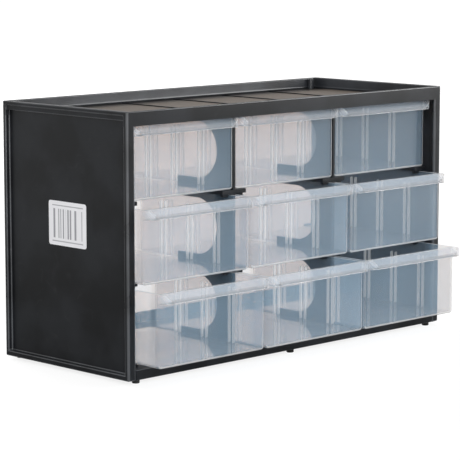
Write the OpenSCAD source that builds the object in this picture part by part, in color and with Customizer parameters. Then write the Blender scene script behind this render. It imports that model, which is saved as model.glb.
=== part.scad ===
// Parts bin cabinet: a moulded housing with an open back, a tray on top and nine pull-out bins.
// +X is to the right, +Y to the back, +Z up. The origin is under the middle of the whole object.

/* [Housing] */
// Outside width
cabinet_w = 365; // [340:1:400]
// Depth from the front plane to the back plane
cabinet_d = 148; // [145:1:170]
// Height without the feet
cabinet_h = 206; // [195:1:230]
// Height of the studs that the housing stands on
foot_h = 3; // [2:0.5:5]
// Radius of the studs
foot_r = 3; // [2.5:0.1:3.2]
// Width of the front posts, seen from the front
post_w = 8; // [7.5:0.5:12]
// How far a side panel lies behind its rim
panel_recess = 4; // [3:0.5:4.5]
// Thickness of a side panel
panel_t = 2.5; // [2:0.1:3]
// Height of the top tray, which is also the height of the top rail
tray_h = 11.3; // [10.5:0.1:16]
// Height of the base plate's front rail
base_h = 8; // [7:0.5:12]
// Height of the base plate's raised rear rail
rear_rail_h = 17; // [14:0.5:20]

/* [Partitions and runners] */
// Thickness of the partition webs
partition_t = 2.5; // [2:0.1:3]
// Distance of the partitions' front edge behind the front plane
partition_front = 11; // [10.9:0.1:14]
// Distance of the partitions' rear edge behind the front plane
partition_rear = 75.5; // [72:0.5:100]
// Thickness of the runners
runner_t = 3.4; // [3:0.1:4]
// How far the runners reach out from a web or a side panel
runner_reach = 12; // [11.5:0.1:14]
// Radius of the D-shaped cut-outs
window_r = 23; // [18:0.5:23]
// Thickness of web left in front of a cut-out
window_front_web = 18.9; // [14:0.1:24]

/* [Drawers] */
// Depth of a drawer's body
drawer_d = 132; // [128:1:132]
// Wall thickness of a drawer
wall_t = 1.5; // [1.2:0.1:1.8]
// Distance of a shut drawer's body behind the front plane
drawer_front = 10.7; // [10.4:0.1:10.7]
// How far the pull lip stands out from the drawer's body
lip_reach = 8.5; // [7.5:0.1:9]
// Height of the pull lip
lip_h = 7.4; // [6.5:0.1:9]
// Distance between the divider slots
slot_pitch = 31.3; // [28:0.1:31.3]
// Width of a divider slot
slot_w = 3.2; // [2:0.1:4]

/* [Rest pose] */
// How far the middle row is pulled out
pull_middle = 18; // [0:1:35]
// How far the bottom row is pulled out
pull_bottom = 35; // [35:1:60]

/* [Hidden] */
$fn = 48;

housing_black = [0.17, 0.18, 0.19];
foot_black = [0.08, 0.08, 0.08];
label_white = [0.93, 0.93, 0.95];
drawer_haze = [0.77, 0.80, 0.84, 0.6];

rows = 3;
columns = 3;
shell_bottom = foot_h;
shell_top = foot_h + cabinet_h;
tray_bottom = shell_top - tray_h;
base_top = shell_bottom + base_h;
row_pitch = (tray_bottom - base_top) / rows;
inner_x = panel_recess + panel_t;

// Rims, posts and small radii of the housing
post_d = 4.5;
rear_rim_d = 4;
bottom_rim_h = 4.5;
corner_r = 2;
rear_corner_r = 1.6;
fillet_r = 2;
label_size = [0.2, 44.5, 35];
label_centre = [74.2, 113.5];

// Tray
tray_floor_t = 1.8;
tray_wall = 2.5;
tray_side_wall = 4.5;
tray_cove = 2.5;
tray_bead_h = 3;
tray_band_h = 4;
tray_band_recess = 1.5;
floor_rib = [1.2, 0.8];
stacking_post_r = 2.75;

// Base
base_skin_t = 2.5;
base_rail_t = 3;
rear_rail_t = 2.5;
stop_rib = [1.5, 2];
base_rib_t = 1.5;
foot_inset = [11.6, 4.7];
foot_stem = [1.5, 4];
stem_play = 0.05;
boss_r = 3.4;

// Stop lugs that hang from the runners and from the tray
lug = [6, 3.3, 2.3];
lug_front = 12.7;
lug_gap_web = 4;
lug_gap_panel = 6.5;

// Drawers
side_play = 1.65;
partition_play = 0.5;
lift = 0.3;
headroom = 0.7;
drawer_w = (cabinet_w - 2 * post_w - 2 * side_play
    - (columns - 1) * (partition_t + 2 * partition_play)) / columns;
column_pitch = drawer_w + partition_t + 2 * partition_play;
drawer_h = row_pitch - runner_t - lift - headroom;
drawer_edge_r = 2.5;
drawer_corner_r = 2;
slot_first = 34.8;
slots = 3;
slot_rib = [1.8, 1.5];
slot_rib_drop = 11.4;
lip_wall = 1.4;
lip_corner_r = 5;
lip_ledge = 1.5;
lip_drop = 4.2;
lip_end_slope = 4;

pulls = [pull_bottom, pull_middle, 0];
front_reach = max(pulls) - drawer_front + lip_reach;
home_y = (front_reach - cabinet_d) / 2;

function column_x(column) = (column - (columns - 1) / 2) * column_pitch;
function runner_top(row) = base_top + row * row_pitch + runner_t;

// Puts a piece drawn from the housing's front plane where the whole object is centred
module at_home() translate([0, home_y, 0]) children();

// Extrudes an outline drawn in Y and Z along X, centred
module extrude_x(length) rotate([90, 0, 90]) linear_extrude(length, center = true) children();

// Extrudes an outline drawn in X and Z along Y, from 0 towards the back
module extrude_y(length) mirror([0, 1, 0]) rotate([90, 0, 0]) linear_extrude(length) children();

// A rectangle from a corner at [0, 0] whose four corners are round
module round_rect(size, r) {
    translate([r, 0]) square([size.x - 2 * r, size.y]);
    translate([0, r]) square([size.x, size.y - 2 * r]);
    for (x = [r, size.x - r], y = [r, size.y - r]) translate([x, y]) circle(r);
}

// A concave fillet in the corner at [0, 0] that fills towards +X and +Y
module cove(r) {
    difference() {
        square(r);
        translate([r, r]) circle(r);
    }
}

// ---- Housing ----

// One runner level of a side panel, in X and Z; it is rooted in the middle of the panel's wall
module panel_runner_profile(filleted) {
    translate([-panel_t / 2, -runner_t])
        square([panel_t / 2 + runner_reach + post_w - inner_x, runner_t]);
    if (filleted) {
        cove(fillet_r / 2);
        translate([0, -runner_t]) mirror([0, 1]) cove(fillet_r);
    }
}

// A side panel whose outer face is at X = 0 and which stands to its +X side
module side_panel_shape() {
    panel_h = tray_bottom - shell_bottom;
    translate([0, 0, shell_bottom]) {
        translate([panel_recess, corner_r, 0])
            cube([panel_t, cabinet_d - 2 * corner_r, panel_h]);
        linear_extrude(panel_h) {
            round_rect([post_w, post_d], corner_r);
            translate([0, corner_r]) square([inner_x, post_d - corner_r]);
            translate([0, cabinet_d - rear_rim_d]) round_rect([inner_x, rear_rim_d], rear_corner_r);
            translate([0, cabinet_d - rear_rim_d]) square([inner_x, rear_rim_d - rear_corner_r]);
        }
        translate([0, corner_r, 0]) cube([inner_x, cabinet_d - 2 * corner_r, bottom_rim_h]);
    }
    runner_l = cabinet_d - rear_rim_d - partition_front;
    for (row = [0 : rows - 1]) {
        translate([inner_x, partition_front, runner_top(row)]) extrude_y(runner_l)
            panel_runner_profile(row > 0);
        if (row > 0)
            translate([inner_x + lug_gap_panel, lug_front, runner_top(row) - runner_t - lug.z])
                cube([lug.x, lug.y, lug.z + runner_t / 2]);
    }
}

module left_side_panel() {
    color(housing_black) at_home() translate([-cabinet_w / 2, 0, 0]) side_panel_shape();
}

module right_side_panel() {
    color(housing_black) at_home() mirror([1, 0, 0])
        translate([-cabinet_w / 2, 0, 0]) side_panel_shape();
}

// The tray's sloping cove along one wall of the given length, centred on it
module tray_cove_strip(length) {
    extrude_x(length) polygon([[0, 0], [tray_cove, 0], [0, tray_cove]]);
}

module top_tray() {
    floor_z = tray_floor_t;
    inside = [cabinet_w - 2 * tray_side_wall, cabinet_d - 2 * tray_wall];
    recess_l = cabinet_d - post_d - rear_rim_d;
    band_z = tray_h - tray_bead_h - tray_band_h;
    color(housing_black) at_home() translate([0, 0, tray_bottom]) {
        difference() {
            translate([-cabinet_w / 2, 0, 0])
                linear_extrude(tray_h) round_rect([cabinet_w, cabinet_d], corner_r);
            translate([-inside.x / 2, tray_wall, floor_z]) cube([inside.x, inside.y, tray_h]);
            for (side = [0, 1]) mirror([side, 0, 0]) translate([-cabinet_w / 2, post_d, 0]) {
                translate([-1, 0, -1]) cube([1 + panel_recess, recess_l, 1 + band_z]);
                translate([-1, 0, -1])
                    cube([1 + tray_band_recess, recess_l, 1 + tray_h - tray_bead_h]);
            }
        }
        translate([0, tray_wall, floor_z]) tray_cove_strip(inside.x);
        translate([0, cabinet_d - tray_wall, floor_z]) mirror([0, 1, 0]) tray_cove_strip(inside.x);
        for (side = [0, 1]) mirror([side, 0, 0])
            translate([-inside.x / 2, cabinet_d / 2, floor_z])
                rotate([0, 0, -90]) tray_cove_strip(inside.y);
        for (i = [1 : 2 * columns - 1]) {
            translate([(i - columns) * column_pitch / 2 - floor_rib.x / 2, tray_wall, floor_z])
                cube([floor_rib.x, inside.y, floor_rib.y]);
        }
        for (x = [-1, 1], y = [foot_inset.y, cabinet_d - foot_inset.y]) {
            translate([x * (cabinet_w / 2 - foot_inset.x), y, floor_z])
                cylinder(h = tray_h - floor_z, r = stacking_post_r);
        }
        for (column = [0 : columns - 1], side = [-1, 1]) {
            centre_gap = side * (column_pitch / 2 - partition_t / 2 - lug_gap_web - lug.x / 2);
            translate([column_x(column) + centre_gap - lug.x / 2, lug_front, -lug.z])
                cube([lug.x, lug.y, lug.z + tray_floor_t / 2]);
        }
    }
}

module base_plate() {
    between_posts = cabinet_w - 2 * post_w;
    between_panels = cabinet_w - 2 * inner_x;
    clear_d = cabinet_d - post_d;
    skin_z = base_h - base_skin_t;
    color(housing_black) at_home() translate([0, 0, shell_bottom]) difference() {
        union() {
            translate([-between_posts / 2, 0, skin_z]) cube([between_posts, cabinet_d, base_skin_t]);
            translate([-between_panels / 2, post_d, skin_z])
                cube([between_panels, clear_d, base_skin_t]);
            translate([-between_posts / 2, 0, 0]) cube([between_posts, base_rail_t, base_h]);
            translate([-between_panels / 2, cabinet_d - rear_rail_t, 0])
                cube([between_panels, rear_rail_t, rear_rail_h]);
            for (side = [0, 1]) mirror([side, 0, 0])
                translate([-between_panels / 2, post_d, 0]) cube([base_rail_t, clear_d, base_h]);
            for (i = [1 : 2 * columns - 1])
                translate([(i - columns) * column_pitch / 2 - base_rib_t / 2, 0, 0])
                    cube([base_rib_t, cabinet_d, base_h]);
            for (y = [1, 2])
                translate([-between_panels / 2, y * cabinet_d / 3 - base_rib_t / 2, 0])
                    cube([between_panels, base_rib_t, base_h]);
            for (column = [0 : columns - 1], side = [-1, 1])
                translate([column_x(column) + side * drawer_w / 3 - stop_rib.x / 2,
                        cabinet_d - rear_rail_t - stop_rib.y, base_h - 1])
                    cube([stop_rib.x, stop_rib.y, rear_rail_h - base_h + 1]);
            for (x = [-1, 0, 1], y = [foot_inset.y, cabinet_d - foot_inset.y])
                translate([x * (cabinet_w / 2 - foot_inset.x), y, 0]) cylinder(h = base_h, r = boss_r);
        }
        for (x = [-1, 0, 1], y = [foot_inset.y, cabinet_d - foot_inset.y])
            translate([x * (cabinet_w / 2 - foot_inset.x), y, -1])
                cylinder(h = foot_stem.y + 1.2, r = foot_stem.x + stem_play);
    }
}

// The T-shaped section of a partition, in X and Z, before its cut-outs
module partition_profile() {
    translate([-partition_t / 2, base_top]) square([partition_t, tray_bottom - base_top]);
    for (row = [0 : rows - 1], side = [0, 1]) mirror([side, 0]) {
        translate([0, runner_top(row) - runner_t])
            square([partition_t / 2 + runner_reach, runner_t]);
        translate([partition_t / 2, runner_top(row)]) cove(fillet_r / 4);
        if (row > 0)
            translate([partition_t / 2, runner_top(row) - runner_t]) mirror([0, 1]) cove(fillet_r);
    }
}

module partition_shape() {
    window_y = partition_front + window_front_web + window_r;
    difference() {
        translate([0, partition_front, 0])
            extrude_y(partition_rear - partition_front) partition_profile();
        for (row = [0 : rows - 1]) {
            window_z = runner_top(row) + (row_pitch - runner_t) / 2;
            translate([0, window_y, window_z]) rotate([0, 90, 0])
                cylinder(h = 4 * partition_t, r = window_r, center = true, $fn = 96);
            translate([-2 * partition_t, window_y, window_z - window_r])
                cube([4 * partition_t, partition_rear, 2 * window_r]);
        }
    }
    for (row = [1 : rows - 1], side = [0, 1]) mirror([side, 0, 0])
        translate([partition_t / 2 + lug_gap_web, lug_front, runner_top(row) - runner_t - lug.z])
            cube([lug.x, lug.y, lug.z + runner_t / 2]);
}

module left_partition() {
    color(housing_black) at_home() translate([-column_pitch / 2, 0, 0]) partition_shape();
}

module right_partition() {
    color(housing_black) at_home() translate([column_pitch / 2, 0, 0]) partition_shape();
}

// A push-in stud; x is -1, 0 or 1 and y is 0 at the front and 1 at the back
module foot(x, y) {
    inset_y = y == 0 ? foot_inset.y : cabinet_d - foot_inset.y;
    color(foot_black) at_home() translate([x * (cabinet_w / 2 - foot_inset.x), inset_y, 0]) {
        cylinder(h = foot_h, r = foot_r);
        cylinder(h = foot_h + foot_stem.y, r = foot_stem.x);
    }
}

module side_label() {
    color(label_white) at_home()
        translate([-cabinet_w / 2 + panel_recess - label_size.x, label_centre.x, shell_bottom + label_centre.y])
            rotate([90, 0, 90]) linear_extrude(label_size.x)
                translate([-label_size.y / 2, -label_size.z / 2])
                    round_rect([label_size.y, label_size.z], 2);
}

// ---- Drawers ----

// Solid block of the drawer's outside, shrunk by inset on the sides and the bottom
module drawer_block(inset) {
    w = drawer_w - 2 * inset;
    d = drawer_d - 2 * inset;
    edge_r = drawer_edge_r - inset;
    plan_r = drawer_corner_r - inset;
    translate([0, inset, inset]) intersection() {
        translate([-w / 2, 0, 0]) linear_extrude(drawer_h) round_rect([w, d], plan_r);
        extrude_y(d) {
            translate([-w / 2, edge_r]) square([w, drawer_h]);
            translate([-w / 2 + edge_r, 0]) square([w - 2 * edge_r, 2 * edge_r]);
            for (x = [-1, 1]) translate([x * (w / 2 - edge_r), edge_r]) circle(edge_r);
        }
    }
}

// Plan outline of the lip, shrunk by inset at its ends and front; the body's front is at Y = 0
module lip_plan(inset) {
    r = lip_corner_r - inset;
    w = drawer_w - 2 * inset;
    front = -lip_reach + inset;
    translate([-w / 2, front + r]) square([w, -front - r + wall_t / 2]);
    translate([-w / 2 + r, front]) square([w - 2 * r, r]);
    for (x = [-1, 1]) translate([x * (w / 2 - r), front + r]) circle(r);
}

// The pull lip, whose top is at Z = 0: a sloping web behind a front wall, closed by two end walls
module lip_shape() {
    web_h = lip_wall * 1.2;
    intersection() {
        translate([0, 0, -lip_h]) linear_extrude(lip_h) lip_plan(0);
        extrude_x(drawer_w) polygon([
            [wall_t / 2, 0], [-lip_ledge, 0], [-lip_reach, -lip_drop],
            [-lip_reach, -lip_drop - web_h], [-lip_ledge, -web_h], [wall_t / 2, -web_h]
        ]);
    }
    translate([0, 0, -lip_h]) linear_extrude(lip_h - lip_drop) difference() {
        lip_plan(0);
        lip_plan(lip_wall);
    }
    intersection() {
        translate([0, 0, -lip_h]) linear_extrude(lip_h) difference() {
            lip_plan(0);
            lip_plan(lip_wall);
        }
        for (side = [0, 1]) mirror([side, 0, 0]) translate([-drawer_w / 2, -lip_reach, 0])
            extrude_y(lip_reach + wall_t / 2) polygon([
                [0, -lip_h], [lip_wall + lip_end_slope, -lip_h],
                [lip_wall + lip_end_slope, -lip_drop], [lip_wall, 0], [0, 0]
            ]);
    }
}

module drawer_shape() {
    difference() {
        drawer_block(0);
        drawer_block(wall_t);
    }
    for (slot = [0 : slots - 1], side = [0, 1], edge = [-1, 1]) mirror([side, 0, 0])
        translate([-drawer_w / 2 + wall_t / 2,
                slot_first + slot * slot_pitch + edge * (slot_w + slot_rib.x) / 2 - slot_rib.x / 2,
                wall_t / 2])
            cube([wall_t / 2 + slot_rib.y, slot_rib.x, drawer_h - slot_rib_drop - wall_t / 2]);
    translate([0, 0, drawer_h]) lip_shape();
}

// A drawer in its column and row, pulled out as far as its row is at rest
module drawer(column, row) {
    color(drawer_haze) at_home()
        translate([column_x(column), drawer_front - pulls[row], runner_top(row) + lift])
            drawer_shape();
}

left_side_panel();
right_side_panel();
top_tray();
base_plate();
left_partition();
right_partition();
foot(-1, 0);  // foot_front_left
foot(0, 0);  // foot_front_middle
foot(1, 0);  // foot_front_right
foot(-1, 1);  // foot_rear_left
foot(0, 1);  // foot_rear_middle
foot(1, 1);  // foot_rear_right
side_label();
drawer(0, 2);  // drawer_top_left
drawer(1, 2);  // drawer_top_centre
drawer(2, 2);  // drawer_top_right
drawer(0, 1);  // drawer_middle_left
drawer(1, 1);  // drawer_middle_centre
drawer(2, 1);  // drawer_middle_right
drawer(0, 0);  // drawer_bottom_left
drawer(1, 0);  // drawer_bottom_centre
drawer(2, 0);  // drawer_bottom_right
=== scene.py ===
"""Dresses the parts bin cabinet: a satin black housing and nine translucent bins on its runners.

Sizes are in millimetres until they reach Blender, and X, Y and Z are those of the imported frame.
"""

import math

import bmesh
import bpy
from mathutils import Matrix, Vector


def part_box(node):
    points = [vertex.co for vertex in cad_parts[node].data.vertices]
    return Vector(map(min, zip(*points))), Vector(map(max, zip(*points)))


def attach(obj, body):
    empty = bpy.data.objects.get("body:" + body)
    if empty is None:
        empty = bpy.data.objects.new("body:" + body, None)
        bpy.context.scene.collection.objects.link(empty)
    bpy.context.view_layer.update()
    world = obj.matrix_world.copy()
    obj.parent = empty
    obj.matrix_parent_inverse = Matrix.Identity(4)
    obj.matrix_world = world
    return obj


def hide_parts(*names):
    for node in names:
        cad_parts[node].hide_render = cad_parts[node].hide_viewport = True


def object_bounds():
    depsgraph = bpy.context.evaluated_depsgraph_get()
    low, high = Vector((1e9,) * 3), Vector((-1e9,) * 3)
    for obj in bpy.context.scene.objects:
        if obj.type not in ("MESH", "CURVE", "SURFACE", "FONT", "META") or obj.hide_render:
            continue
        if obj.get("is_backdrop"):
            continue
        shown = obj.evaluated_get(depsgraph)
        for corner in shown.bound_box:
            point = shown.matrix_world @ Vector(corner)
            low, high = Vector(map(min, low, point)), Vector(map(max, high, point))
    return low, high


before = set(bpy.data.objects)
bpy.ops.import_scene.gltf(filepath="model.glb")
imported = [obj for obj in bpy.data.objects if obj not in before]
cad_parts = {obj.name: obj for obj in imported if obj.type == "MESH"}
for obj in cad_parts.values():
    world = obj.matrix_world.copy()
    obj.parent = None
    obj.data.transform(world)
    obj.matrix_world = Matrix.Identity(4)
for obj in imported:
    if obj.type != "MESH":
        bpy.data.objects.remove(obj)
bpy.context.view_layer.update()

# ---- Camera ----
# A long lens at the photograph's viewing angle, from the front left and a little above the tray.
# Its place and angles were solved from the corners of the housing.

MM = 0.001
camera_azimuth = math.radians(-44.717)
camera_elevation = math.radians(8.136)
camera_place = Vector((-1274.88, -1270.41, 353.13))

camera = bpy.data.objects.new("camera", bpy.data.cameras.new("camera"))
bpy.context.scene.collection.objects.link(camera)
bpy.context.scene.camera = camera
camera.data.lens = 171.14
camera.data.sensor_width = 36
camera.data.clip_end = 20  # metres
camera.location = camera_place * MM
towards_camera = Vector((
    math.sin(camera_azimuth) * math.cos(camera_elevation),
    -math.cos(camera_azimuth) * math.cos(camera_elevation),
    math.sin(camera_elevation),
))
camera.rotation_mode = "QUATERNION"
camera.rotation_quaternion = towards_camera.to_track_quat("Z", "Y")
bpy.context.scene.view_settings.view_transform = "Standard"

# ---- Studio ----
# A pale floor and a white surround with soft boxes under a dim ceiling. Only what the camera, a
# gloss or a glass sees is pure white; the light that falls on the cabinet stays at a plain level.


class Wire:
    """A shader socket. Arithmetic on it adds Math nodes, and node() adds any other kind."""

    def __init__(self, tree, socket=None):
        self.tree = tree
        self.socket = socket

    def node(self, kind, settings=None, inputs=None, output=0):
        """Adds a node, makes its settings and feeds its sockets with values or other wires."""
        made = self.tree.nodes.new("ShaderNode" + kind)
        for name, value in (settings or {}).items():
            setattr(made, name, value)
        for name, value in (inputs or {}).items():
            if isinstance(value, Wire):
                self.tree.links.new(value.socket, made.inputs[name])
            else:
                made.inputs[name].default_value = value
        return Wire(self.tree, made.outputs[output] if made.outputs else None)

    def maths(self, operation, first, second):
        return self.node("Math", {"operation": operation}, {0: first, 1: second})

    def __add__(self, other):
        return self.maths("ADD", self, other)

    def __sub__(self, other):
        return self.maths("SUBTRACT", self, other)

    def __rsub__(self, other):
        return self.maths("SUBTRACT", other, self)

    def __mul__(self, other):
        return self.maths("MULTIPLY", self, other)

    def __pow__(self, other):
        return self.maths("POWER", self, other)

    __radd__ = __add__
    __rmul__ = __mul__

    def smooth(self, low, high):
        """0 below low, 1 above high and a smooth step between them."""
        return self.node("MapRange", {"interpolation_type": "SMOOTHSTEP"},
                         {"Value": self, "From Min": low, "From Max": high})

    def blend(self, first, second):
        """The first colour where this is 0 and the second where it is 1."""
        return self.node("Mix", {"data_type": "RGBA"}, {0: self, 6: first, 7: second}, output=2)


def finish_of(name, look):
    """A new material whose surface is the shader that look() builds."""
    made = bpy.data.materials.new(name)
    made.use_nodes = True
    made.node_tree.nodes.clear()
    start = Wire(made.node_tree)
    start.node("OutputMaterial", inputs={"Surface": look(start)})
    return made


def seen_directly(start):
    """1 for what the camera, a gloss or a glass sees, and 0 for the light on the cabinet."""
    path = "LightPath"
    seen = start.node(path, output="Is Camera Ray")
    glossy = start.node(path, output="Is Glossy Ray")
    through = start.node(path, output="Is Transmission Ray")
    return seen.maths("MAXIMUM", seen, seen.maths("MAXIMUM", glossy, through))


surround = bpy.data.worlds.new("surround")
bpy.context.scene.world = surround
surround.use_nodes = True
surround.node_tree.nodes.clear()
sky = Wire(surround.node_tree)
fill_level, ceiling_loss = 0.45, 0.85
sky_way = sky.node("TexCoord", output="Generated")
overhead = sky.node("SeparateXYZ", inputs={0: sky_way}, output="Z").smooth(0.2, 0.8)
sky_strength = seen_directly(sky) * ((1 - fill_level) - overhead * ceiling_loss) + fill_level
sky.node("OutputWorld", inputs={
    "Surface": sky.node("Background", inputs={"Color": (1, 1, 1, 1), "Strength": sky_strength})})

floor_size = 30  # metres
bpy.ops.object.select_all(action="DESELECT")
bpy.ops.mesh.primitive_plane_add(size=floor_size)
floor = bpy.context.object
floor.name = "floor"


def floor_look(start):
    """Lit diffuse paint with a glow for the camera, so that the shadow stays but is pale. The glow is a
    shade greyer through the bins, and where it gleams on the cabinet from close by: both are painted
    shade."""
    near_glow, far_glow = 0.82, 1
    painted_shade_through_bins, painted_shade_in_gleams = 0.18, 0.6
    paint = start.node("BsdfDiffuse", inputs={"Color": (0.2, 0.2, 0.2, 1)})
    place = start.node("TexCoord", output="Object")
    distance = start.node("VectorMath", {"operation": "LENGTH"}, {0: place}, output="Value")
    far = distance.smooth(0.8, 3.5)
    gleam = start.node("LightPath", output="Is Glossy Ray") * (1 - distance.smooth(0.2, 1.5))
    through = start.node("LightPath", output="Transparent Depth").smooth(0, 1)
    level = far * (far_glow - near_glow) + near_glow - through * painted_shade_through_bins - gleam * painted_shade_in_gleams
    glow = start.node("Emission", inputs={"Color": seen_directly(start) * level})
    return start.node("AddShader", inputs={0: paint, 1: glow})


floor.data.materials.append(finish_of("floor_paint", floor_look))
floor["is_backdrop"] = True


def soft_box(name, place, size, power, gleams=True):
    """A square area lamp, placed in metres and aimed at the cabinet. It isn't seen itself, and one
    that doesn't gleam isn't mirrored in the bins' floors either."""
    aim = (0, 0, 0.1)
    lamp = bpy.data.objects.new(name, bpy.data.lights.new(name, "AREA"))
    lamp.data.size = size
    lamp.data.energy = power
    lamp.location = place
    lamp.rotation_mode = "QUATERNION"
    lamp.rotation_quaternion = (Vector(place) - Vector(aim)).to_track_quat("Z", "Y")
    lamp.visible_camera = False
    lamp.visible_glossy = gleams
    bpy.context.scene.collection.objects.link(lamp)


soft_box("key_box", (-1.9, -2.4, 1.05), 1.7, 90)
soft_box("fill_box", (1.0, -0.8, 0.5), 0.6, 11)
soft_box("back_box", (0.4, 2.6, 0.9), 2.2, 150, gleams=False)

# ---- Side panels ----
# Each side is one black polystyrene moulding: a flat panel set back behind a raised rim, with the
# front post, the rear rim and, inside, three runners whose roots are filleted. It clips to the tray.

X, Y, Z = range(3)
mostly = 0.9  # what a normal or a direction has along an axis that it follows
near, weld = 0.1, 0.01


def at(value, place):
    """Whether a value, in millimetres or as a part of a direction, is as good as another."""
    return abs(value - place) < near


def select_nothing():
    """Leaves edit mode and deselects every object."""
    if bpy.context.object and bpy.context.object.mode != "OBJECT":
        bpy.ops.object.mode_set(mode="OBJECT")
    bpy.ops.object.select_all(action="DESELECT")


def start_on(piece):
    """Makes a piece the only one selected, in object mode."""
    select_nothing()
    piece.select_set(True)
    bpy.context.view_layer.objects.active = piece


def block(name, low, high):
    """A cube that fills the space between two corners."""
    low, high = Vector(low) * MM, Vector(high) * MM
    select_nothing()
    bpy.ops.mesh.primitive_cube_add(size=1, location=(low + high) / 2)
    piece = bpy.context.object
    piece.scale = high - low
    piece.name = piece.data.name = name
    bpy.ops.object.transform_apply(location=True, rotation=True, scale=True)
    return piece


def pick(piece, kind, wanted):
    """Selects the faces or edges whose middle, and normal or direction, are wanted."""
    if piece.mode != "EDIT":
        start_on(piece)
        bpy.ops.object.mode_set(mode="EDIT")
    bpy.ops.mesh.select_mode(type=kind)
    bpy.ops.mesh.select_all(action="DESELECT")
    mesh = bmesh.from_edit_mesh(piece.data)
    mesh.normal_update()
    if kind == "FACE":
        for face in mesh.faces:
            if wanted(face.calc_center_median() / MM, face.normal):
                face.select_set(True)
    else:
        for edge in mesh.edges:
            start, end = (corner.co for corner in edge.verts)
            if wanted((start + end) / 2 / MM, (end - start).normalized()):
                edge.select_set(True)
    mesh.select_flush_mode()
    bmesh.update_edit_mesh(piece.data)


def put_in_order(piece):
    """Sorts the corners, edges and faces by their distance from one odd point, so that the tools
    that follow meet them in the same order on every run."""
    odd_point = (0.1317, -0.3171, 0.2713)
    pick(piece, "FACE", lambda middle, normal: True)
    bpy.context.scene.cursor.location = odd_point
    bpy.ops.mesh.sort_elements(type="CURSOR_DISTANCE", elements={"VERT", "EDGE", "FACE"})


def cut(piece, axis, *places):
    """Cuts the faces of a piece along planes across the X, Y or Z axis."""
    pick(piece, "FACE", lambda middle, normal: True)
    normal = Vector((axis == X, axis == Y, axis == Z))
    for place in places:
        bpy.ops.mesh.select_all(action="SELECT")
        bpy.ops.mesh.bisect(plane_co=normal * place * MM, plane_no=normal)
    put_in_order(piece)


def push(shift):
    """Extrudes the picked faces."""
    bpy.ops.mesh.extrude_region_move(TRANSFORM_OT_translate={"value": Vector(shift) * MM})


def round_off(radius, segments=4, slot=-1):
    """Rounds or fillets the picked edges, in the material of a slot or of the faces beside them."""
    bpy.ops.mesh.bevel(offset=radius * MM, segments=segments, affect="EDGES", material=slot)


def tidy(piece):
    """Merges doubles, drops the cuts that shape nothing and points the faces outwards."""
    pick(piece, "FACE", lambda middle, normal: True)
    bpy.ops.mesh.remove_doubles(threshold=weld * MM)
    put_in_order(piece)
    bpy.ops.mesh.dissolve_limited(angle_limit=math.radians(0.5))
    bpy.ops.mesh.normals_make_consistent(inside=False)
    bpy.ops.mesh.select_mode(type="EDGE")
    bpy.ops.mesh.select_all(action="SELECT")
    bpy.ops.mesh.delete_loose()
    put_in_order(piece)


def dress(piece, *finishes):
    """Gives a piece its materials, the first of them on all faces."""
    piece.data.materials.clear()
    for finish in finishes:
        piece.data.materials.append(finish)


def soften(piece, *steps, segments=2):
    """Rounds the sharp edges as a moulding's are. Each step is a radius, the material slot of the
    rounded edges and which edges they are."""
    sharp_angle, smooth_angle = math.radians(35), math.radians(50)
    tidy(piece)
    for radius, slot, wanted in steps:
        bpy.ops.mesh.select_mode(type="EDGE")
        bpy.ops.mesh.select_all(action="DESELECT")
        mesh = bmesh.from_edit_mesh(piece.data)
        for edge in mesh.edges:
            middle = (edge.verts[0].co + edge.verts[1].co) / 2 / MM
            if edge.calc_face_angle(0) > sharp_angle and wanted(middle):
                edge.select_set(True)
        mesh.select_flush_mode()
        bmesh.update_edit_mesh(piece.data)
        bpy.ops.mesh.bevel(offset=radius * MM, segments=segments, affect="EDGES",
                           clamp_overlap=False, material=slot)
    bpy.ops.mesh.select_all(action="SELECT")
    bpy.ops.mesh.fill_holes(sides=4)
    start_on(piece)
    bpy.ops.object.shade_smooth_by_angle(angle=smooth_angle)
    weighted = piece.modifiers.new("flats", "WEIGHTED_NORMAL")
    weighted.keep_sharp = True
    bpy.ops.object.modifier_apply(modifier="flats")


def copy_of(piece, name, turn=Matrix.Identity(4)):
    """A copy of a piece with its own mesh, moved or mirrored."""
    start_on(piece)
    bpy.ops.object.duplicate()
    copy = bpy.context.object
    copy.name = copy.data.name = name
    copy.data.transform(turn)
    if turn.is_negative:
        pick(copy, "FACE", lambda middle, normal: True)
        bpy.ops.mesh.normals_make_consistent(inside=False)
        start_on(copy)
    return copy


def moulded_black(start, tone=(0.0088, 0.0098, 0.0116), gloss=0.32, shine=0.17):
    """Satin black plastic: a fine mould grain, faint flow clouds, and dust and rubs that catch light."""
    place = start.node("TexCoord", output="Object")
    grain = start.node("TexNoise", inputs={"Vector": place, "Scale": 1400, "Detail": 2})
    clouds = start.node("TexNoise", inputs={"Vector": place, "Scale": 22, "Detail": 3})
    dust = start.node("TexNoise", inputs={"Vector": place, "Scale": 260, "Detail": 4}).smooth(0.7, 0.8)
    rubs = start.node("TexNoise", inputs={"Vector": place, "Scale": 60, "Detail": 5,
                                          "Distortion": 1.4}).smooth(0.58, 0.8)
    colour = clouds.smooth(0.35, 0.65).blend((*(0.55 * part for part in tone), 1),
                                             (*(1.4 * part for part in tone), 1))
    dusty = (dust * 0.1 + rubs * 0.07).blend(colour, (0.11, 0.11, 0.115, 1))
    height = grain * 0.7 + clouds * 0.3
    bump = start.node("Bump", inputs={"Height": height, "Strength": 0.12, "Distance": 0.1 * MM})
    return start.node("BsdfPrincipled", inputs={
        "Base Color": dusty, "Roughness": gloss + clouds * 0.06 + dust * 0.2 + rubs * 0.1,
        "Normal": bump, "Specular IOR Level": shine})


def black_with_painted_highlight(start):
    """The same plastic on its edges, glossier, with a lighter base colour that is a painted highlight.
    """
    return moulded_black(start, tone=(0.038, 0.041, 0.046), gloss=0.25, shine=0.7)


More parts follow.
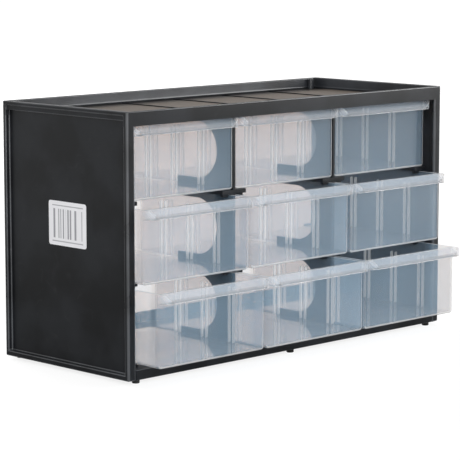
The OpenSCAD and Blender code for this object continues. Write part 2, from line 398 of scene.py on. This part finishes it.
black = finish_of("housing_plastic", moulded_black)
black_highlight_edge = finish_of("housing_edge_painted_highlight", black_with_painted_highlight)
black_finishes = (black, black_highlight_edge)
# Slot 1 holds the edge finish, whose lighter colour is a painted highlight along the rounded edges.
plain, painted_highlight_slot = 0, 1
side_low, side_high = (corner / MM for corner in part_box("left_side_panel"))
left, front, bottom = side_low
back, tray_bottom = side_high.y, side_high.z
panel_set_back = 4
panel_inner = left + 6.5
post_inner = left + 8
post_back = front + 4.5
rear_rim_front = back - 4
rim_top = bottom + 4.5
runner_thickness = 3.4
runner_front, runner_back = front + 11, rear_rim_front - 0.5
runner_gap = 0.3
runner_tops = [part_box(f"drawer_{row}_left")[0].z / MM - runner_gap
               for row in ("bottom", "middle", "top")]
runner_bottoms = [top - runner_thickness for top in runner_tops]
lug_half, lug_drop = 3, 2.3
lug_low = (panel_inner + 6.5, front + 12.7)
lug_high = (lug_low[X] + 2 * lug_half, front + 16)
root_radius, runner_edge_radius, corner_radius = 1.8, 0.9, 1.6
rim_edge_radius, inner_edge_radius = 0.9, 0.35

side = block("side_panel_left", (left + panel_set_back, front, bottom),
             (panel_inner, back, tray_bottom))
dress(side, *black_finishes)
cut(side, Y, post_back, rear_rim_front)
cut(side, Z, rim_top)
pick(side, "FACE", lambda middle, normal: normal.x < -mostly and not (
    post_back < middle.y < rear_rim_front and middle.z > rim_top))
push((-panel_set_back, 0, 0))
pick(side, "FACE", lambda middle, normal: normal.x > mostly and middle.y < post_back)
push((post_inner - panel_inner, 0, 0))
cut(side, Y, runner_front, runner_back)
cut(side, Z, *runner_bottoms, *runner_tops)
pick(side, "FACE", lambda middle, normal: normal.x > mostly and (
    runner_front < middle.y < runner_back) and any(
    low < middle.z < high for low, high in zip(runner_bottoms, runner_tops)))
push((side_high.x - panel_inner, 0, 0))
cut(side, X, lug_low[X], lug_high[X])
cut(side, Y, lug_low[Y], lug_high[Y])
pick(side, "FACE", lambda middle, normal: normal.z < -mostly and middle.z > runner_tops[0] and (
    lug_low[X] < middle.x < lug_high[X] and lug_low[Y] < middle.y < lug_high[Y]))
push((0, 0, -lug_drop))
tidy(side)
pick(side, "EDGE", lambda middle, along: abs(along.y) > mostly and at(middle.x, panel_inner) and any(
    at(middle.z, z) for z in runner_bottoms[1:]))
round_off(root_radius)
pick(side, "EDGE", lambda middle, along: abs(along.y) > mostly and at(middle.x, panel_inner) and any(
    at(middle.z, z) for z in runner_tops[1:]))
round_off(runner_edge_radius, segments=3)
pick(side, "EDGE", lambda middle, along: abs(along.z) > mostly and (
    at(middle.y, front) or at(middle.y, back)))
round_off(corner_radius, segments=5, slot=painted_highlight_slot)
panel_middle, below_tray = panel_inner - 2, tray_bottom - 0.05
soften(side, (rim_edge_radius, painted_highlight_slot,
              lambda middle: middle.x < panel_middle and middle.z < below_tray),
       (inner_edge_radius, plain,
        lambda middle: middle.x > panel_middle and middle.z < below_tray))
other_side = copy_of(side, "side_panel_right", Matrix.Scale(-1, 4, (1, 0, 0)))
for piece, node in ((side, "left_side_panel"), (other_side, "right_side_panel")):
    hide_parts(node)
    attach(piece, "housing")

# ---- Top tray ----
# One black moulding that caps the cabinet: an open tray with a ribbed floor, coved foot, raised rim
# and four short posts that locate the studs of a cabinet stacked on it. It carries two lugs a column.

tray_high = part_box("top_tray")[1] / MM
right, top = tray_high.x, tray_high.z
tray_wall, tray_side_wall = 2.5, 4.5
tray_floor = tray_bottom + 1.8
cove_radius = 2.5
rib_half, rib_rise = 0.6, 0.8
column_x = [sum(corner.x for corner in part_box(f"drawer_top_{column}")) / 2 / MM
            for column in ("left", "centre", "right")]
column_pitch = column_x[1] - column_x[0]
rib_x = [place * column_pitch / 2 for place in (-2, -1, 0, 1, 2)]
stud_x, stud_y = right - 11.6, (front + 4.7, back - 4.7)
post_radius, post_root, post_drop, post_surround = 2.75, 0.8, 1.2, 3
low_band_rise, high_band_depth, high_band_drop = 4.3, 1.5, 3
web_half, lug_gap = 1.25, 4
top_edge_radius, band_edge_radius = 0.7, 0.5
dusty, painted_light_slot = 2, 3


def rod(name, radius, low, high, sides=40):
    """A cylinder between two points of its axis, which runs along X, Y or Z."""
    low, high = Vector(low) * MM, Vector(high) * MM
    select_nothing()
    bpy.ops.mesh.primitive_cylinder_add(
        vertices=sides, radius=radius * MM, depth=(high - low).length, location=(low + high) / 2,
        rotation=(high - low).to_track_quat("Z", "Y").to_euler())
    piece = bpy.context.object
    piece.name = piece.data.name = name
    bpy.ops.object.transform_apply(location=True, rotation=True, scale=True)
    return piece


def combine(piece, others, operation="UNION"):
    """Fuses other shapes with a piece or, for DIFFERENCE, cuts them out of it."""
    for other in others:
        start_on(piece)
        fused = piece.modifiers.new("shape", "BOOLEAN")
        fused.operation = operation
        fused.solver = "EXACT"
        fused.object = other
        bpy.ops.object.modifier_apply(modifier="shape")
        bpy.data.objects.remove(other)


def dust_with_painted_shade(start):
    """The tray's floor: warm dust lies on it. It fades to black towards the front and the back wall,
    which is painted shade along those walls.
    """
    place = start.node("TexCoord", output="Object")
    depth = start.node("SeparateXYZ", inputs={0: place}, output="Y")
    patches = start.node("TexNoise", inputs={"Vector": place, "Scale": 60, "Detail": 5})
    # Painted shade: the dust's colour falls off near the back wall and the front.
    dust = ((back * MM - depth).smooth(4 * MM, 30 * MM) * (depth - front * MM).smooth(2 * MM, 14 * MM)
            * (patches * 0.3 + 0.85))
    return start.node("BsdfPrincipled", inputs={
        "Base Color": dust.blend((0.02, 0.019, 0.018, 1), (0.12, 0.099, 0.082, 1)),
        "Roughness": dust * 0.15 + 0.4, "Specular IOR Level": 0.3})


def black_with_painted_light(start):
    """The rear and right wall inside the tray, and its posts: a little shinier, with a lighter colour
    that is painted light on them.
    """
    return moulded_black(start, tone=(0.022, 0.024, 0.028), gloss=0.28, shine=0.4)


tray = block("tray", (left, front, tray_bottom), (right, back, top))
dress(tray, *black_finishes, finish_of("tray_dust_painted_shade", dust_with_painted_shade), finish_of("tray_wall", black_with_painted_light))
pick(tray, "EDGE", lambda middle, along: abs(along.z) > mostly)
round_off(corner_radius, segments=5, slot=painted_highlight_slot)
cut(tray, X, left + tray_side_wall, right - tray_side_wall)
cut(tray, Y, front + tray_wall, back - tray_wall)
pick(tray, "FACE", lambda middle, normal: normal.z > mostly and (
    abs(middle.x) < right - tray_side_wall and front + tray_wall < middle.y < back - tray_wall))
push((0, 0, tray_floor - top))
pick(tray, "EDGE", lambda middle, along: at(along.z, 0) and at(middle.z, tray_floor) and (
    at(abs(middle.x), right - tray_side_wall)
    or at(middle.y, front + tray_wall) or at(middle.y, back - tray_wall)))
round_off(cove_radius, segments=3)
cut(tray, X, *(x + side for x in rib_x for side in (-rib_half, rib_half)))
pick(tray, "FACE", lambda middle, normal: normal.z > mostly and at(middle.z, tray_floor) and any(
    abs(middle.x - x) < rib_half for x in rib_x))
push((0, 0, rib_rise))
tidy(tray)
bands = []
for mirror in (-1, 1):
    outer = mirror * (right + 1)
    for depth, band_top in ((panel_set_back, tray_bottom + low_band_rise),
                            (high_band_depth, top - high_band_drop)):
        inner = mirror * (right - depth)
        bands.append(block("band", (min(outer, inner), post_back, tray_bottom - 1),
                           (max(outer, inner), rear_rim_front, band_top)))
combine(tray, bands, "DIFFERENCE")
fittings = []
for x in (-stud_x, stud_x):
    for y in stud_y:
        fittings.append(rod("stacking_post", post_radius, (x, y, tray_floor - post_root),
                            (x, y, top - post_drop)))
for x in column_x:
    for direction in (-1, 1):
        lug_x = x + direction * (column_pitch / 2 - web_half - lug_gap - lug_half)
        fittings.append(block("lug", (lug_x - lug_half, lug_low[Y], tray_bottom - lug_drop),
                              (lug_x + lug_half, lug_high[Y], tray_bottom + 1)))
combine(tray, fittings)
soften(tray, (top_edge_radius, painted_highlight_slot, lambda middle: middle.z > top - near),
       (band_edge_radius, painted_highlight_slot, lambda middle: abs(middle.x) > right - panel_set_back - 0.2 and (
           tray_bottom + 1 < middle.z < top - 1)))
# The flat of the floor is dusty, with painted shade along its front and back. The rear wall, the right
# wall and the posts take a lighter black, which is painted light.
for face in tray.data.polygons:
    middle = face.center / MM
    if face.normal.z > mostly and at(middle.z, tray_floor):
        face.material_index = dusty
    elif middle.z > tray_floor and (
            face.normal.y < -mostly and middle.y > back - tray_wall * 2
            or face.normal.x < -mostly and middle.x > right - tray_side_wall - 0.5
            or abs(abs(middle.x) - stud_x) < post_surround and abs(face.normal.z) < 0.5):
        face.material_index = painted_light_slot
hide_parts("top_tray")
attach(tray, "housing")

# ---- Base plate ----
# The black bottom moulding: a thin skin on a grid of ribs, a front rail, and a raised rear rail
# whose six short ribs stop the bottom drawers. Bosses under it take the studs' stems.

base_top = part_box("left_partition")[0].z / MM
base_skin, base_edge_radius = 2.5, 0.4
rail = 3
rib_thickness, stop_rib_drop = 1.5, 0.8
base_half = -post_inner
boss_radius, bore_radius, bore_depth = 3, 1.55, 4.2
rear_rail_front = back - 2.5
rear_rail_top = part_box("base_plate")[1].z / MM
rib_sides = (-rib_thickness / 2, rib_thickness / 2)
base_rib_x = [x + side for x in rib_x for side in rib_sides]
base_rib_y = [front + (back - front) * third / 3 + side for third in (1, 2) for side in rib_sides]

base = block("base", (-base_half, front, bottom), (base_half, back, base_top))
cut(base, Y, post_back)
for direction in (1, -1):
    pick(base, "FACE", lambda middle, normal: normal.x * direction > mostly and middle.y > post_back)
    push((direction * (post_inner - panel_inner), 0, 0))
cut(base, X, -base_half + rail, base_half - rail, *base_rib_x)
cut(base, Y, front + rail, rear_rail_front, *base_rib_y)


def between_ribs(value, ribs):
    """Whether a value lies clear of all the ribs, which are given by their two sides in turn."""
    return not any(low < value < high for low, high in zip(ribs[::2], ribs[1::2]))


pick(base, "FACE", lambda middle, normal: normal.z < -mostly and abs(middle.x) < base_half - rail and (
    front + rail < middle.y < rear_rail_front) and (
    between_ribs(middle.x, base_rib_x) and between_ribs(middle.y, base_rib_y)))
push((0, 0, base_top - base_skin - bottom))
pick(base, "FACE", lambda middle, normal: normal.z > mostly and (
    middle.y > rear_rail_front and at(middle.z, base_top)))
push((0, 0, rear_rail_top - base_top))
tidy(base)
bosses, bores = [], []
for x in (-stud_x, 0, stud_x):
    for y in stud_y:
        bosses.append(rod("boss", boss_radius, (x, y, bottom), (x, y, base_top - 0.5)))
        bores.append(rod("bore", bore_radius, (x, y, bottom - 1), (x, y, bottom + bore_depth), sides=24))
drawer_third = (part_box("drawer_top_left")[1].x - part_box("drawer_top_left")[0].x) / MM / 3
for x in column_x:
    for middle_x in (x - drawer_third, x + drawer_third):
        bosses.append(block(
            "stop_rib", (middle_x - rib_thickness / 2, rear_rail_front - 2, base_top - 1),
            (middle_x + rib_thickness / 2, rear_rail_front + 1, rear_rail_top - stop_rib_drop)))
combine(base, bosses)
combine(base, bores, "DIFFERENCE")
dress(base, *black_finishes)
soften(base, (base_edge_radius, painted_highlight_slot, lambda middle: abs(middle.x) < base_half - 0.05 and (
    middle.y < front + near or middle.y > back - near or middle.z > base_top + 1)))
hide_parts("base_plate")
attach(base, "housing")

# ---- Partitions ----
# Two black webs between the columns, each with D-shaped cut-outs that are open to the back and a
# T-shaped runner at every row. Their feet slot into the base and their heads into the tray.

web_low, web_high = (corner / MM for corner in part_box("left_partition"))
web_x = (web_low.x + web_high.x) / 2
runner_lip_radius, web_edge_radius = 0.5, 0.3
window_start, window_radius, window_reach = 18.9, 23, 5
window_y = web_low.y + window_start + window_radius
row_pitch = runner_tops[1] - runner_tops[0]

web = block("partition_left", (web_x - web_half, web_low.y, base_top),
            (web_x + web_half, web_high.y, tray_bottom))
cut(web, Z, *runner_bottoms[1:], *runner_tops)
for direction in (-1, 1):
    pick(web, "FACE", lambda middle, normal: normal.x * direction > mostly and any(
        low < middle.z < high for low, high in zip(runner_bottoms, runner_tops)))
    push((direction * ((web_high.x - web_low.x) / 2 - web_half), 0, 0))
tidy(web)
pick(web, "EDGE", lambda middle, along: abs(along.y) > mostly and (
    at(abs(middle.x - web_x), web_half) and any(at(middle.z, z) for z in runner_bottoms[1:])))
round_off(root_radius)
pick(web, "EDGE", lambda middle, along: abs(along.y) > mostly and (
    at(abs(middle.x - web_x), web_half) and any(at(middle.z, z) for z in runner_tops)))
round_off(runner_lip_radius, segments=2)
lugs, windows = [], []
for z in runner_bottoms[1:]:
    for direction in (-1, 1):
        lug_x = web_x + direction * (web_half + lug_gap + lug_half)
        lugs.append(block("lug", (lug_x - lug_half, lug_low[Y], z - lug_drop),
                          (lug_x + lug_half, lug_high[Y], z + 1)))
for z in runner_tops:
    centre_z = z + (row_pitch - runner_thickness) / 2
    windows.append(rod("window", window_radius, (web_x - window_reach, window_y, centre_z),
                       (web_x + window_reach, window_y, centre_z), sides=96))
    windows.append(block("window", (web_x - window_reach, window_y, centre_z - window_radius),
                         (web_x + window_reach, web_high.y + window_reach,
                          centre_z + window_radius)))
combine(web, lugs)
combine(web, windows, "DIFFERENCE")
dress(web, black)
soften(web, (web_edge_radius, plain, lambda middle: base_top + 0.05 < middle.z < below_tray))
other_web = copy_of(web, "partition_right", Matrix.Translation((-2 * web_x * MM, 0, 0)))
for piece, node in ((web, "left_partition"), (other_web, "right_partition")):
    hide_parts(node)
    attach(piece, "housing")

# ---- Feet ----
# Six small matt black plastic studs, each a solid moulding: a low round head with a softened edge
# and a stem that is pushed up into a boss of the base plate.


def rubbed_black(start):
    """Matt black plastic, a little greyer than the housing's."""
    return moulded_black(start, tone=(0.016, 0.016, 0.016), gloss=0.55)


matt_black = finish_of("foot_plastic", rubbed_black)
stud_radius, stem_radius, stem_rise = 3, 1.5, 4
stud_edge_radius, stem_edge_radius = 0.6, 0.25
stud = rod("stud", stud_radius, (-stud_x, stud_y[0], 0), (-stud_x, stud_y[0], bottom))
pick(stud, "FACE", lambda middle, normal: normal.z > mostly)
bpy.ops.mesh.inset(thickness=(stud_radius - stem_radius) * MM)
push((0, 0, stem_rise))
pick(stud, "EDGE", lambda middle, along: middle.z < near)
round_off(stud_edge_radius, segments=3)
dress(stud, matt_black)
soften(stud, (stem_edge_radius, plain, lambda middle: middle.z > near))
for column, x in (("left", -stud_x), ("middle", 0), ("right", stud_x)):
    for row, y in (("front", stud_y[0]), ("rear", stud_y[1])):
        foot = copy_of(stud, f"stud_{row}_{column}",
                       Matrix.Translation(((x + stud_x) * MM, (y - stud_y[0]) * MM, 0)))
        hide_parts(f"foot_{row}_{column}")
        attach(foot, "housing")
bpy.data.objects.remove(stud)

# ---- Side label ----
# A white film sticker with round corners, pressed on to the left panel. It carries plain grey bars
# between two rules, and says nothing.

label_low, label_high = (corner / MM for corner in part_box("side_label"))
label_corner_radius, film_edge_radius = 2, 0.06
stripes_across = 16


def band(value, low, high, softness):
    """1 between two places and 0 beyond them, with soft ends that lie between them."""
    return value.smooth(low, low + softness) * (1 - value.smooth(high - softness, high))


def printed_film(start):
    """White film with grey bars of uneven width between two thin rules."""
    place = start.node("TexCoord", output="Object")
    across = place.node("SeparateXYZ", inputs={0: place}, output="Y")
    upward = place.node("SeparateXYZ", inputs={0: place}, output="Z")
    wide = (label_high.y - label_low.y) * MM
    tall = (label_high.z - label_low.z) * MM
    run = (across - label_low.y * MM) * (1 / wide)
    rise = (upward - label_low.z * MM) * (1 / tall)
    stripes = start.node("TexNoise", {"noise_dimensions": "1D"},
                         {"W": run * stripes_across, "Scale": 1, "Detail": 1})
    bars = stripes.smooth(0.5, 0.54)
    window = band(run, 0.1, 0.9, 0.01) * band(rise, 0.16, 0.83, 0.01)
    rules = band(run, 0.08, 0.91, 0.01) * (
        band(rise, 0.885, 0.915, 0.005) + band(rise, 0.08, 0.11, 0.005))
    film = start.node("TexNoise", inputs={"Vector": place, "Scale": 90, "Detail": 3})
    white = film.blend((0.8, 0.8, 0.83, 1), (0.86, 0.86, 0.88, 1))
    ink = (bars * window * 0.75 + rules * 0.6).blend(white, (0.13, 0.13, 0.15, 1))
    bump = start.node("Bump", inputs={"Height": film, "Strength": 0.1, "Distance": 0.1 * MM})
    return start.node("BsdfPrincipled", inputs={"Base Color": ink, "Roughness": 0.32, "Normal": bump})


label = block("label", label_low, label_high)
pick(label, "EDGE", lambda middle, along: abs(along.x) > mostly)
round_off(label_corner_radius, segments=5)
pick(label, "EDGE", lambda middle, along: middle.x < label_low.x + weld)
round_off(film_edge_radius, segments=2)
tidy(label)
start_on(label)
dress(label, finish_of("label_film", printed_film))
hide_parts("side_label")
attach(label, "housing")

# ---- Drawers ----
# Nine equal bins of milky translucent polypropylene, each one moulding: a thin-walled box with
# three pairs of divider ribs down each side and a hollow pull lip along the top of its front.


def milky_plastic(start, cloud, tint, body, thick_body, forwards=0.5):
    """A thin milky wall: part of what is behind it shows, warmer, the rest is cool haze, and both
    lie under a gloss. Along its surface it is denser and whiter. It hands most light on to the next
    wall, as haze scatters forwards."""
    edge_on_haze, flow_haze, scuff_haze, handed_on_haze = 0.12, 0.16, 0.02, 0.12
    lowest_gloss, edge_on_gloss = 0.02, 0.96
    place = start.node("TexCoord", output="Object")
    flow = start.node("TexNoise", inputs={"Vector": place, "Scale": 14, "Detail": 3})
    scuffs = start.node("TexNoise", inputs={"Vector": place, "Scale": 70, "Detail": 5,
                                            "Distortion": 1.2}).smooth(0.6, 0.85)
    bump = start.node("Bump", inputs={"Height": flow, "Strength": 0.02, "Distance": 0.2 * MM})

    def haze(colour):
        reflected = start.node("BsdfPrincipled", inputs={
            "Base Color": (*colour, 1), "Roughness": 0.5, "Specular IOR Level": 0})
        passed = start.node("BsdfTranslucent", inputs={"Color": (*colour, 1)})
        return start.node("MixShader", inputs={0: forwards, 1: reflected, 2: passed})

    facing = start.node("LayerWeight", inputs={"Blend": 0.5}, output="Facing")
    along = facing ** 3
    thickness = start.node("MixShader", inputs={0: along, 1: haze(body), 2: haze(thick_body)})
    uneven = flow * flow_haze + (1 - flow_haze / 2)
    density = (along * edge_on_haze + cloud) * uneven + scuffs * scuff_haze
    seen = start.node("MixShader", inputs={
        0: density, 1: start.node("BsdfTransparent", inputs={"Color": (*tint, 1)}), 2: thickness})
    gloss = start.node("BsdfGlossy", inputs={"Roughness": 0.04 + scuffs * 0.15, "Normal": bump})
    seen = start.node("MixShader", inputs={
        0: facing ** 3.5 * edge_on_gloss + lowest_gloss, 1: seen, 2: gloss})
    handed_on = start.node("MixShader", inputs={
        0: handed_on_haze, 1: start.node("BsdfTransparent"), 2: haze(body)})
    light = start.maths("MAXIMUM", start.node("LightPath", output="Is Shadow Ray"),
                        start.node("LightPath", output="Is Diffuse Ray"))
    return start.node("MixShader", inputs={0: light, 1: seen, 2: handed_on})


def milky_wall(start):
    """The thin walls, blue where they lie over black and warm over white."""
    return milky_plastic(start, 0.12, tint=(1, 0.955, 0.92), body=(0.44, 0.66, 0.86),
                         thick_body=(0.93, 0.93, 0.95))


def milky_edge_with_painted_highlight(start):
    """Edges and ribs are seen through more plastic, so they are denser; their whiter body is also a
    painted highlight.
    """
    return milky_plastic(start, 0.52, tint=(1, 0.96, 0.93), body=(0.8, 0.79, 0.78),
                         thick_body=(0.95, 0.94, 0.94), forwards=0.4)


def milky_lip(start):
    """The pull lip, twice as dense as a wall because its top and web lie behind each other."""
    return milky_plastic(start, 0.24, tint=(1, 0.965, 0.94), body=(0.72, 0.81, 0.9),
                         thick_body=(0.84, 0.87, 0.9), forwards=0.35)


def cast(piece, slot):
    """Gives a shape all the drawer's finishes, with one of them on all its faces."""
    dress(piece, *drawer_finishes)
    for face in piece.data.polygons:
        face.material_index = slot
    return piece


# Slot 1 is the edge finish, which paints a highlight on the edges, rims and ribs.
wall_slot, dense_highlit_slot, lip_slot = 0, 1, 2
drawer_finishes = (finish_of("drawer_wall", milky_wall), finish_of("drawer_edge_painted_highlight", milky_edge_with_painted_highlight),
                   finish_of("drawer_lip", milky_lip))
lip_reach, lip_height = 8.5, 7.4
first_low, first_high = (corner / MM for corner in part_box("drawer_top_left"))
drawer_half = (first_high.x - first_low.x) / 2
drawer_deep = first_high.y - first_low.y - lip_reach
drawer_tall = first_high.z - first_low.z
wall = 1.5
long_corner_radius, end_corner_radius, mould_edge_radius = 2.5, 1.8, 0.28

bin_box = block("bin", (-drawer_half, 0, 0), (drawer_half, drawer_deep, drawer_tall + 1))
pick(bin_box, "EDGE", lambda middle, along: abs(along.y) > mostly and middle.z < near)
round_off(long_corner_radius, segments=5)
pick(bin_box, "EDGE", lambda middle, along: at(along.y, 0) and middle.z < drawer_tall)
round_off(end_corner_radius, segments=4)
pick(bin_box, "FACE", lambda middle, normal: normal.z > mostly and middle.z > drawer_tall)
bpy.ops.mesh.delete(type="FACE")
start_on(bin_box)
shell = bin_box.modifiers.new("wall", "SOLIDIFY")
shell.thickness = wall * MM
shell.offset = -1
shell.use_even_offset = True
bpy.ops.object.modifier_apply(modifier="wall")
tidy(bin_box)
start_on(bin_box)
cast(bin_box, wall_slot)
# The bends around the front at the right and at the bottom take the denser, whiter edge finish as a
# painted highlight; the left bend keeps the wall finish.
for face in bin_box.data.polygons:
    bent = 0.5 < -face.normal.y < 0.99
    if bent and (face.normal.x > near or face.normal.z < -near):
        face.material_index = dense_highlit_slot

slot_first, slot_pitch, slot_half = 34.8, 31.3, 1.6
rib_wide, rib_deep, rib_root, rib_drop, rib_tip_radius = 1.8, 1.5, 0.3, 11.4, 0.7
ribs = []
for slot in range(3):
    for edge in (-1, 1):
        middle_y = slot_first + slot * slot_pitch + edge * (slot_half + rib_wide / 2)
        for direction in (-1, 1):
            outer = direction * (drawer_half - wall + rib_root)
            inner = direction * (drawer_half - wall - rib_deep)
            rib = block("rib", (min(outer, inner), middle_y - rib_wide / 2, wall - rib_root),
                        (max(outer, inner), middle_y + rib_wide / 2, drawer_tall - rib_drop))
            pick(rib, "EDGE", lambda middle, along: abs(along.x) > mostly and middle.z > wall)
            round_off(rib_tip_radius, segments=3)
            start_on(rib)
            ribs.append(cast(rib, dense_highlit_slot))

lip_corner, lip_wall = 5, 1.4
lip_ledge, lip_drop, lip_end, end_slope = 1.5, 4.2, 7, 4
notch_inset, notch_rise = 0.1, 1.5
web_slope = Vector((0, -lip_drop, lip_reach - lip_ledge))
web_point = Vector((0, -lip_ledge, drawer_tall))
lip_low = Vector((-drawer_half, -lip_reach, drawer_tall - lip_height))
lip_high = Vector((drawer_half, wall / 2, drawer_tall + 0.5))


def lip_block(name, margin, drop, rise):
    """The lip's outline, drawn in by a margin and made longer below and above."""
    made = block(name, lip_low + Vector((margin, margin, -drop)),
                 lip_high + Vector((-margin, 0, rise)))
    pick(made, "EDGE", lambda middle, along: abs(along.z) > mostly and middle.y < 0)
    round_off(lip_corner - margin, segments=8)
    return made


def trim(piece, point, normal):
    """Cuts off what lies beyond a plane and closes the cut."""
    pick(piece, "FACE", lambda middle, facing: True)
    bpy.ops.mesh.bisect(plane_co=Vector(point) * MM, plane_no=Vector(normal), use_fill=True,
                        clear_outer=True)
    start_on(piece)


lip = lip_block("lip", 0, 0, 0)
under = lip_block("under", lip_wall, 1, 0)
trim(under, web_point - web_slope.normalized() * lip_wall, web_slope)
well = lip_block("well", lip_wall, 0, 1)
trim(well, web_point, -web_slope)
notch = block("notch", (lip_low.x + notch_inset, lip_low.y - 1, lip_low.z),
              (lip_high.x - notch_inset, 0, lip_high.z + notch_rise))
trim(notch, web_point, -web_slope)
for direction in (-1, 1):
    trim(notch, (direction * (drawer_half - lip_wall), 0, drawer_tall),
         (direction * lip_drop, 0, -end_slope))
for shape in (lip, under, well, notch):
    cast(shape, lip_slot)
combine(lip, [under, well, notch], "DIFFERENCE")
tidy(lip)
start_on(lip)
combine(bin_box, [lip])
cut(bin_box, X, -(drawer_half - lip_end), drawer_half - lip_end)
bpy.ops.mesh.remove_doubles(threshold=weld * MM)
combine(bin_box, ribs)
above = block("above", (-drawer_half - 1, -lip_reach - 1, drawer_tall),
              (drawer_half + 1, drawer_deep + 1, drawer_tall + 5))
combine(bin_box, [cast(above, dense_highlit_slot)], "DIFFERENCE")
soften(bin_box, (mould_edge_radius, dense_highlit_slot, lambda middle: True))
for row in ("top", "middle", "bottom"):
    for column in ("left", "centre", "right"):
        node = f"drawer_{row}_{column}"
        low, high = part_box(node)
        shift = Vector(((low.x + high.x) / 2, low.y + lip_reach * MM, low.z))
        drawer = copy_of(bin_box, f"bin_{row}_{column}", Matrix.Translation(shift))
        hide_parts(node)
        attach(drawer, node)
bpy.data.objects.remove(bin_box)
# A line of sight crosses up to thirty walls, and each has two faces.
bpy.context.scene.cycles.transparent_max_bounces = 64

# ---- Size ----
# The box of the dressed cabinet, in metres.

low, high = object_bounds()
